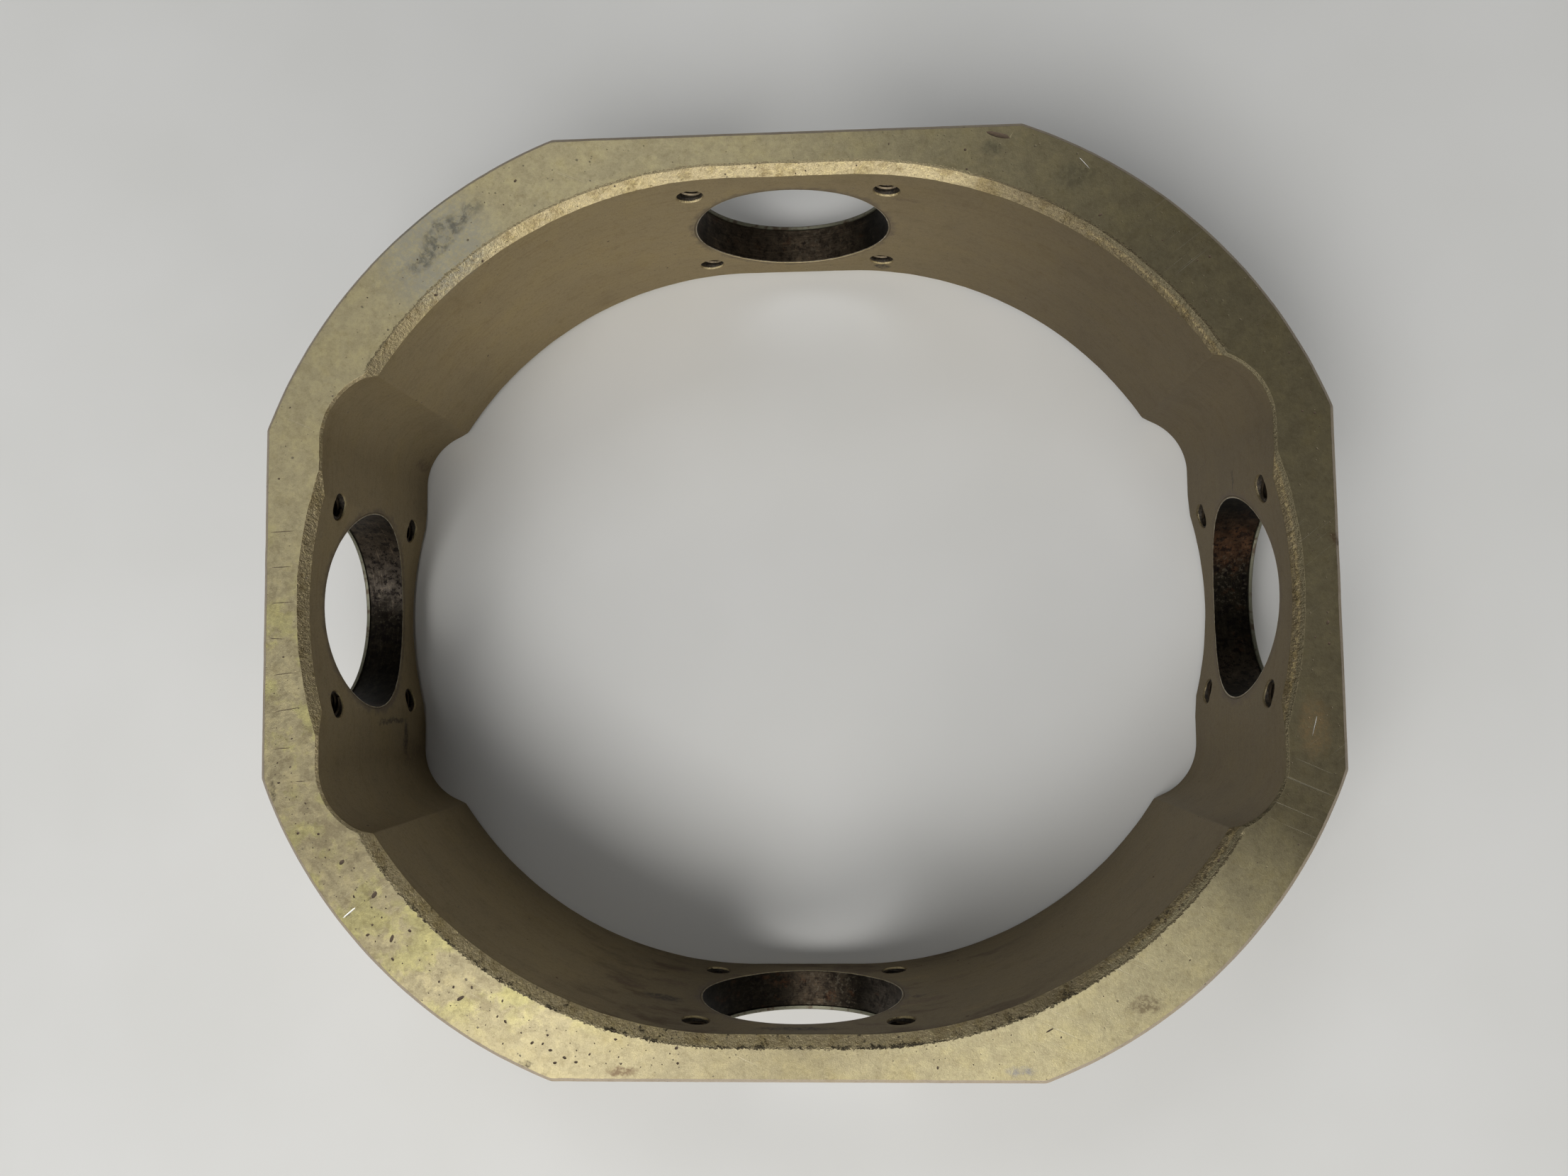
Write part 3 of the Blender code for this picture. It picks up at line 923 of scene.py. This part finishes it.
class RingGraph(Graph):
    """The ring's graph, with the masks and noises that several of its layers use."""

    def __init__(self):
        super().__init__("chromate_film")
        normal = self.split(self.node("ShaderNodeNewGeometry").outputs["True Normal"])
        self.level = self.size(normal[2])
        self.on_face = self.step(self.level, 0.90, 0.98)
        self.on_slope = self.all(self.step(self.level, 0.30, 0.55), self.step(self.level, 0.95, 0.86))
        self.on_wall = self.less(1.0, self.step(self.level, 0.10, 0.40))
        facing = self.add(self.all(normal[0], self.x), self.all(normal[1], self.y))
        self.outward = self.step(facing, -4.0, 4.0)
        self.inward = self.less(1.0, self.outward)
        self.chamfer = self.all(self.on_slope, self.inward)
        self.patches = self.noise(self.place, 0.22, 4.0, 0.6)
        self.grain = self.noise(self.place, 3.2, 3.0, 0.7)
        self.crackle = self.noise(flow(self, self.place, 1.4, 1.2), 0.95, 4.0, 0.65)
        self.crumbs = self.noise(self.place, 1.15, 4.0, 0.7)
        self.edge = self.add(from_opening(self), self.all(self.less(self.crumbs, 0.5), 2.4))
        self.arc_only = self.step(self.size(self.y), POCKET_HALF_Y / MM, POCKET_HALF_Y / MM + 2.0)


def film_and_shade_colors(g):
    """Plain film colours round the ring, with painted shade and painted highlights in them: of the faces, the
    walls and the inner chamfer.
    """
    x, y, _ = g.split(flow(g, g.place, 0.10, 14.0))
    turn = g.add(g.math("DIVIDE", g.math("ARCTAN2", y, x), 2 * math.pi), 1.0)
    return [film_and_shade_ramp(g, turn, *FILM_AND_SHADE_ROUND[kind]) for kind in ("face", "wall", "chamfer")]


def mottled(g, base):
    """Clouds, worm-like marks, crackle and grain in the film, liveliest at the front left corner."""
    mottle = g.noise(flow(g, g.place, 0.3, 4.0), 0.085, 5.0, 0.62)
    worms = g.noise(flow(g, g.place, 0.6, 3.4), 0.34, 4.0, 0.6)
    corner = g.all(g.step(g.add(g.x, g.y), -90.0, -140.0), g.step(g.y, -104.0, -92.0))
    lively = g.add(g.all(corner, 0.60), 0.40)
    return g.tinted(
        base,
        (mottle, 0.44, 0.72, 0.38, (1.10, 1.08, 0.90)),
        (mottle, 0.48, 0.26, 0.45, (0.86, 0.87, 0.90)),
        (g.patches, 0.52, 0.72, 0.40, (0.80, 0.76, 0.66)),
        (worms, 0.49, 0.64, g.all(g.on_face, lively), (1.22, 1.22, 1.17)),
        (worms, 0.50, 0.36, g.all(g.on_face, lively), (0.79, 0.77, 0.76)),
        (mottle, 0.47, 0.58, g.all(g.on_face, corner), (1.03, 1.08, 0.89)),
        (g.crackle, 0.50, 0.66, 0.55, (0.80, 0.78, 0.74)),
        (g.crackle, 0.46, 0.34, g.all(g.on_face, 0.50), (1.14, 1.14, 1.10)),
        (g.grain, 0.35, 0.70, 0.40, (0.78, 0.77, 0.74)))


def soiled(g, base):
    """Level streaks on the walls, and soil on the front wall beside its bore."""
    streaks = g.noise(g.vector("MULTIPLY", g.place, (0.05, 0.05, 0.9)), 1.0, 4.0)
    drifting = g.vector("MULTIPLY", flow(g, g.place, 0.12, 4.0), (0.045, 0.045, 0.11))
    soil = g.noise(drifting, 1.0, 5.0, 0.66)
    near_bore = g.step(g.size(g.x), 75.0, 35.0)
    amount = g.add(g.all(g.step(g.y, -60.0, -95.0), near_bore, g.inward, 0.75), 0.12)
    return g.tinted(
        base,
        (streaks, 0.50, 0.75, g.all(g.on_wall, 0.35), (0.78, 0.70, 0.60)),
        (soil, 0.50, 0.68, g.all(g.on_wall, amount), (0.46, 0.37, 0.28)),
        (soil, 0.44, 0.30, g.all(g.on_wall, amount), (1.20, 1.18, 1.10)))


def stained(g, base):
    """Stains with ragged, broken edges, then the faint smear."""
    ragged = flow(g, g.place, 0.55, 3.2)
    broken = g.add(g.all(g.step(g.crackle, 0.44, 0.54), 0.55), 0.45)
    for place, reach, color, strength in stain_places():
        base = g.mix(g.all(g.blot(ragged, place, reach), broken, strength), base, color)
    return g.mix(smudge(g), base, INK)


def speck_mask(g):
    """Scattered dark specks in two sizes."""
    distance, chance = g.cells(flow(g, g.place, 1.5, 0.5), 0.30)
    coarse = g.all(g.step(distance, 0.105, 0.055), g.step(chance, 0.69, 0.75))
    distance, chance = g.cells(g.vector("ADD", g.place, (31.0, 17.0, 5.0)), 0.75)
    fine = g.all(g.step(distance, 0.16, 0.08), g.step(chance, 0.74, 0.80))
    return g.math("MAXIMUM", coarse, g.all(fine, 0.75))


def worn_chamfer(g, base, mouth, face_color, chamfer_color):
    """The inner chamfer: torn upper edge, dirt, a dull outer band and a bright rim on the right."""
    torn = g.all(g.on_face, g.arc_only, g.step(g.edge, TORN_EDGE + 0.1, TORN_EDGE - 0.1))
    base = g.mix(g.all(torn, 0.85), base, chamfer_color)
    base = g.tinted(base,
                    (g.crumbs, 0.50, 0.62, g.all(g.chamfer, 0.60), (1.32, 1.33, 1.20)),
                    (g.crumbs, 0.43, 0.35, g.all(g.chamfer, 0.60), (0.62, 0.57, 0.48)))
    base = g.mix(g.all(mouth, g.on_wall, g.inward), base, MOUTH_DIRT)
    ooze = g.noise(g.place, 0.42, 4.0, 0.7)
    base = g.tinted(base, (g.patches, 0.48, 0.62, g.all(g.chamfer, 0.55), (0.66, 0.62, 0.52)))
    line = g.step(g.size(g.less(g.edge, DIRT_LINE)), 0.42, 0.18)
    front = g.all(g.step(g.y, -45.0, -80.0), g.step(g.x, 75.0, 60.0))
    near = g.math("MAXIMUM", g.on_face, g.chamfer)
    base = g.mix(g.all(line, front, near, g.step(ooze, 0.47, 0.55), 0.85), base, DIRT)
    right = g.step(g.x, 62.0, 80.0)
    # The dull band takes the face colour, which holds the painted shade over the right
    dull = g.all(g.chamfer, right, g.step(g.edge, DULL_FROM - 0.1, DULL_FROM + 0.1), 0.80)
    base = g.mix(dull, base, g.mix(1.0, face_color, (0.80, 0.80, 0.80), "MULTIPLY"))
    rim = g.step(g.size(g.less(g.edge, BRIGHT_RIM)), 0.40, 0.12)
    base = g.tinted(base, (g.crumbs, 0.42, 0.52, g.all(g.chamfer, right, rim), (1.6, 1.6, 1.5)))
    dirt = g.all(g.chamfer, g.step(ooze, 0.58, 0.66), g.step(g.y, -30.0, -90.0))
    return g.mix(g.all(dirt, 0.85), base, DIRT)


def ring_material():
    """Yellow chromate film on machined aluminium: mottled, worn, specked and scratched, with painted shade
    and painted highlights round the ring.
    """
    g = RingGraph()
    face_color, wall_color, chamfer_color = film_and_shade_colors(g)
    base = g.mix(g.on_face, wall_color, face_color)
    base = g.mix(g.chamfer, base, chamfer_color)
    base = g.mix(g.all(g.on_slope, g.outward), base, BEVEL_COLOR)
    base = stained(g, soiled(g, mottled(g, base)))
    specks, mouth = speck_mask(g), bore_grime(g)
    base = g.mix(g.all(specks, 0.72), base, SPECK_COLOR)
    scratches = g.math("MAXIMUM", light_scratches(g, 38, 3.0), light_scratches(g, -24, 41.0))
    scratches = g.all(scratches, g.step(g.level, 0.3, 0.9))
    base = g.mix(g.all(scratches, 0.22), base, SCRATCH_COLOR)
    base = worn_chamfer(g, base, mouth, face_color, chamfer_color)

    metallic = g.less(0.78, g.all(g.math("MAXIMUM", specks, mouth), 0.5))
    rough = g.add(g.all(g.grain, 0.16), g.less(0.50, g.all(g.on_face, 0.12)))
    rough = g.less(g.less(rough, g.all(g.chamfer, 0.14)), g.all(scratches, 0.08))
    relief = g.add(g.all(g.grain, 0.55), g.all(g.noise(g.place, 1.1, 3.0), 0.6))
    relief = g.less(g.less(relief, g.all(scratches, 0.25)), g.all(specks, 0.9))
    slope = g.math("MINIMUM", g.less(g.edge, TORN_EDGE), 0.0)
    relief = g.add(relief, g.all(g.chamfer, g.crumbs, 9.0))
    relief = g.add(relief, g.all(g.on_face, g.arc_only, slope, 16.0))
    return g.finish(base, metallic, rough, relief, 0.05)


def bore_grime(g):
    """Mask of dirt that gathers in a ring round each bore mouth."""
    to_x_axis = g.vector("LENGTH", g.vector("MULTIPLY", g.place, (0.0, 1.0, 1.0)))
    to_y_axis = g.vector("LENGTH", g.vector("MULTIPLY", g.place, (1.0, 0.0, 1.0)))
    away = g.math("MINIMUM", to_x_axis, to_y_axis)
    uneven = g.add(away, g.all(g.less(g.noise(g.place, 0.28, 5.0, 0.7), 0.5), 7.0))
    return g.all(g.step(uneven, 28.4, 26.2), 0.70)


def grime_material():
    """Dark dirt and oxide in the dents and pits."""
    g = Graph("pit_grime")
    base = g.mix(g.noise(g.place, 2.5, 3.0), (0.035, 0.028, 0.020), (0.13, 0.085, 0.050))
    return g.finish(base, 0.15, 0.75, g.noise(g.place, 6.0, 2.0), 0.03)


def fresh_material():
    """Bright aluminium where a scratch has gone through the film."""
    g = Graph("fresh_scratch")
    grain = g.noise(g.place, 5.0, 3.0)
    base = g.mix(grain, (0.42, 0.41, 0.37), (0.66, 0.65, 0.61))
    return g.finish(base, 0.9, g.add(g.all(grain, 0.2), 0.32), grain, 0.03)


def bare_material():
    """Machined seat and lip of the bores: turned aluminium with a thin film."""
    g = Graph("turned_lip")
    rings = g.noise(g.vector("MULTIPLY", g.place, (2.4, 2.4, 0.3)), 1.0, 2.0)
    base = g.mix(rings, (0.110, 0.106, 0.074), (0.190, 0.184, 0.132))
    base = g.mix(g.step(g.noise(g.place, 0.5, 4.0), 0.50, 0.66), base, (0.075, 0.055, 0.036))
    return g.finish(base, 0.75, g.add(g.all(rings, 0.2), 0.42), rings, 0.02)


def thread_material():
    """Tapped thread: cut aluminium darkened by cutting oil and dirt."""
    g = Graph("tapped_thread")
    dirt = g.noise(g.place, 1.6, 4.0, 0.65)
    base = g.mix(g.step(dirt, 0.40, 0.62), (0.040, 0.030, 0.018), (0.010, 0.007, 0.005))
    return g.finish(base, 0.5, g.add(g.all(dirt, 0.2), 0.55), dirt, 0.02)


def wire_material():
    """Stainless wire of the inserts: slightly browned, with painted shade at both sides and at the front."""
    g = Graph("insert_steel")
    film = g.noise(g.place, 1.3, 4.0, 0.65)
    base = g.mix(g.step(film, 0.50, 0.72), (0.27, 0.22, 0.150), (0.110, 0.083, 0.052))
    # Painted shade on the coils in the side and front holes, where little light reaches in
    shaded = g.math("MAXIMUM", g.step(g.size(g.x), 100.0, 110.0), g.step(g.y, -85.0, -92.0))
    base = g.mix(shaded, base, g.mix(1.0, base, (0.16, 0.14, 0.12), "MULTIPLY"))
    return g.finish(base, 0.80, g.add(g.all(film, 0.2), 0.46), g.noise(g.place, 7.0, 2.0), 0.01)


# Oily film in the bores, with painted shadow and painted light in it
TAR_AND_SHADOW, OILY_BROWN, RUSTY_OIL = (0.01, 0.008, 0.005), (0.04, 0.03, 0.02), (0.04, 0.02, 0.01)
WORN_STEEL_AND_LIGHT = (0.06, 0.05, 0.04)

# The near-black is partly tar and partly painted shadow, as in the lower part of the left bore; the worn
# steel is partly bare steel and partly painted light, as at the right of the front bore
# How it changes round each bore's axis: (share of a turn from across towards up, colour)
BORE_FILMS_AND_LIGHT = {
    "left": ((0.0, OILY_BROWN), (0.50, OILY_BROWN), (0.55, TAR_AND_SHADOW), (0.75, TAR_AND_SHADOW), (0.80, WORN_STEEL_AND_LIGHT),
             (0.90, OILY_BROWN)),
    "right": ((0.0, TAR_AND_SHADOW), (0.25, OILY_BROWN), (0.50, TAR_AND_SHADOW), (0.60, OILY_BROWN), (0.70, TAR_AND_SHADOW), (0.80, TAR_AND_SHADOW),
              (0.85, RUSTY_OIL), (0.95, TAR_AND_SHADOW)),
    "front": ((0.0, WORN_STEEL_AND_LIGHT), (0.25, OILY_BROWN), (0.50, TAR_AND_SHADOW), (0.70, TAR_AND_SHADOW), (0.75, OILY_BROWN),
              (0.85, TAR_AND_SHADOW), (0.90, WORN_STEEL_AND_LIGHT)),
    "back": ((0.0, TAR_AND_SHADOW), (0.25, OILY_BROWN), (0.85, OILY_BROWN), (0.90, TAR_AND_SHADOW)),
}
RUST = (0.060, 0.026, 0.011)
SOOT = (0.003, 0.002, 0.002)
# How much rust, soot, light fleck and honing shows in each bore
SLEEVE_WEAR = {"left": (0.05, 0.90, 0.30, 0.80), "right": (0.40, 0.95, 0.30, 0.45),
               "front": (0.45, 0.60, 0.35, 0.45), "back": (0.35, 0.60, 0.30, 0.60)}
FLECK = (0.100, 0.086, 0.062)
SLEEVE_END = (0.17, 0.135, 0.085)
WORN_BAND = 0.79    # share of a turn round which flecks gather
WORN_RIM = (0.52, 0.47, 0.36)


def sleeve_material(side):
    """Steel sleeve under a dark oily film that changes round the bore, with painted shadow and painted light
    in that film.
    """
    g = Graph("stained_sleeve_" + side)
    rusty, sooty, flecked, honed = SLEEVE_WEAR[side]
    lengthwise = SIDES[side][0] == "X"
    ragged_x, ragged_y, ragged_z = g.split(flow(g, g.place, 0.22, 3.0))
    turn = g.math("DIVIDE", g.math("ARCTAN2", ragged_z, ragged_y if lengthwise else ragged_x), 2 * math.pi)
    turn = g.math("FRACT", g.add(turn, 1.0))
    base = g.ramp(turn, BORE_FILMS_AND_LIGHT[side])
    cloud = g.noise(g.place, 0.33, 6.0, 0.72)
    base = g.tinted(base,
                    (cloud, 0.50, 0.62, 0.75, (0.42, 0.40, 0.38)),
                    (cloud, 0.46, 0.36, 0.80, (1.75, 1.70, 1.62)))
    rust = g.noise(g.vector("ADD", g.place, (9.0, 4.0, 2.0)), 0.24, 5.0, 0.65)
    base = g.mix(g.all(g.step(rust, 0.56, 0.70), rusty), base, RUST)
    grit = g.noise(g.vector("ADD", g.place, (3.0, 40.0, 8.0)), 0.9, 4.0, 0.7)
    blotches = g.noise(g.vector("ADD", g.place, (13.0, 7.0, 29.0)), 0.42, 5.0, 0.72)
    base = g.mix(g.all(g.step(grit, 0.58, 0.64), sooty), base, SOOT)
    base = g.mix(g.all(g.step(blotches, 0.53, 0.57), sooty, 0.8), base, SOOT)
    band = g.step(g.size(g.less(turn, WORN_BAND)), 0.07, 0.03)
    flecks = g.all(g.step(grit, 0.46, 0.38), g.add(g.all(band, 0.75), 0.25), flecked)
    base = g.mix(flecks, base, FLECK)
    squeeze = (3.4, 0.15, 0.15) if lengthwise else (0.15, 3.4, 0.15)
    hone = g.noise(g.vector("MULTIPLY", g.place, squeeze), 1.0, 3.0)
    base = g.tinted(base, (hone, 0.52, 0.70, honed, (2.1, 2.05, 2.0)))
    squash = (0.0, 1.0, 1.0) if lengthwise else (1.0, 0.0, 1.0)
    reach = g.vector("LENGTH", g.vector("MULTIPLY", g.place, squash))
    inner = SLEEVE_INNER_R / MM
    end_face = g.step(reach, inner + 0.04, inner + 0.08)
    base = g.mix(end_face, base, SLEEVE_END)
    line = g.all(end_face, g.step(reach, inner + 0.24, inner + 0.18), g.step(cloud, 0.62, 0.42))
    base = g.mix(g.all(line, 0.85), base, WORN_RIM)
    g.set("Specular IOR Level", 0.25)
    rough = g.less(g.add(g.all(cloud, 0.25), 0.45), g.all(line, 0.2))
    return g.finish(base, 0.88, rough, g.add(g.all(hone, 0.6), cloud), 0.03)


def floor_material():
    """Plain pale grey floor."""
    g = Graph("pale_floor")
    g.set("Base Color", g.mix(g.noise(g.place, 0.02, 2.0), (0.63, 0.63, 0.61), (0.68, 0.68, 0.67)))
    g.set("Roughness", 0.8)
    return g.material


# ---------------------------------------------------------------- stage

CAMERA_PLACE = Vector((14.1, -19.7, 316.7)) * MM
CAMERA_TURN = (-3.74, -2.85, 0.90)       # degrees; tilt of the view from straight down
CAMERA_LENS = 27.48                      # mm, on the default 36 mm sensor
CAMERA_SHIFT = (-0.0044, 0.0079)
FLOOR_HALF = 6.0

# Lights: name, place in metres, width, depth, power in watts, colour
LIGHTS = (
    ("key", (-0.30, -0.50, 0.98), 0.75, 0.50, 6.8, (1.0, 0.985, 0.96)),
    ("front_panel", (0.30, -1.28, 0.52), 1.9, 0.40, 10.4, (1.0, 0.98, 0.94)),
    ("back_panel", (-0.30, 0.72, 1.10), 0.55, 0.45, 2.6, (0.98, 0.99, 1.0)),
)
SURROUND_BRIGHT_SIDE = (-0.45, -0.45, 0.77)
SURROUND_BRIGHT, SURROUND_DIM = 0.90, 0.03
SURROUND_FROM = 0.60                     # how squarely a direction must face that side to brighten
SURROUND_COLOR = (0.97, 0.985, 1.0, 1.0)


def add_floor():
    """Large plain floor under the ring."""
    bm = bmesh.new()
    bmesh.ops.create_grid(bm, x_segments=4, y_segments=4, size=FLOOR_HALF)
    bmesh.ops.translate(bm, vec=(0.0, 0.0, -TOP), verts=bm.verts)
    finish_mesh(bm, "floor", [floor_material()])


def add_camera():
    """Camera above the ring, at the photograph's viewing angle."""
    data = bpy.data.cameras.new("camera")
    data.lens = CAMERA_LENS
    data.shift_x, data.shift_y = CAMERA_SHIFT
    data.clip_start = 0.01
    camera = bpy.data.objects.new("camera", data)
    bpy.context.scene.collection.objects.link(camera)
    turn = Euler([math.radians(angle) for angle in CAMERA_TURN], "XYZ").to_matrix().transposed()
    camera.matrix_world = Matrix.Translation(CAMERA_PLACE) @ turn.to_4x4()
    bpy.context.scene.camera = camera


def add_light(name, place, width, depth, power, color):
    """Soft rectangular light aimed at the ring."""
    data = bpy.data.lights.new(name, "AREA")
    data.shape = "RECTANGLE"
    data.size, data.size_y = width, depth
    data.energy = power
    data.color = color
    light = bpy.data.objects.new(name, data)
    bpy.context.scene.collection.objects.link(light)
    light.location = place
    light.visible_camera = False
    light.rotation_euler = (-Vector(place)).to_track_quat("-Z", "Y").to_euler()


def add_surround():
    """Even soft surround that is bright towards the front left and dim behind on the right."""
    world = bpy.data.worlds.new("surround")
    world.use_nodes = True
    nodes, links = world.node_tree.nodes, world.node_tree.links
    direction = nodes.new("ShaderNodeTexCoord")
    facing = nodes.new("ShaderNodeVectorMath")
    facing.operation = "DOT_PRODUCT"
    facing.inputs[1].default_value = Vector(SURROUND_BRIGHT_SIDE).normalized()
    strength = nodes.new("ShaderNodeMapRange")
    strength.interpolation_type = "SMOOTHSTEP"
    for name, value in (("From Min", SURROUND_FROM), ("From Max", 1.0),
                        ("To Min", SURROUND_DIM), ("To Max", SURROUND_BRIGHT)):
        strength.inputs[name].default_value = value
    background = nodes["Background"]
    background.inputs["Color"].default_value = SURROUND_COLOR
    links.new(direction.outputs["Generated"], facing.inputs[0])
    links.new(facing.outputs["Value"], strength.inputs["Value"])
    links.new(strength.outputs["Result"], background.inputs["Strength"])
    bpy.context.scene.world = world


def add_lights():
    """Key from the front left, a low front panel and a back panel, in a dim surround."""
    for light in LIGHTS:
        add_light(*light)
    add_surround()
    bpy.context.scene.view_settings.view_transform = "Standard"


def build():
    """Model every piece and set the stage."""
    build_ring([ring_material(), bare_material(), thread_material(), grime_material(), fresh_material()])
    wire = wire_material()
    for side in SIDES:
        build_sleeve(side, sleeve_material(side))
        for number in HOLE_NUMBERS:
            build_insert(side, number, wire)
    add_floor()
    add_camera()
    add_lights()


build()
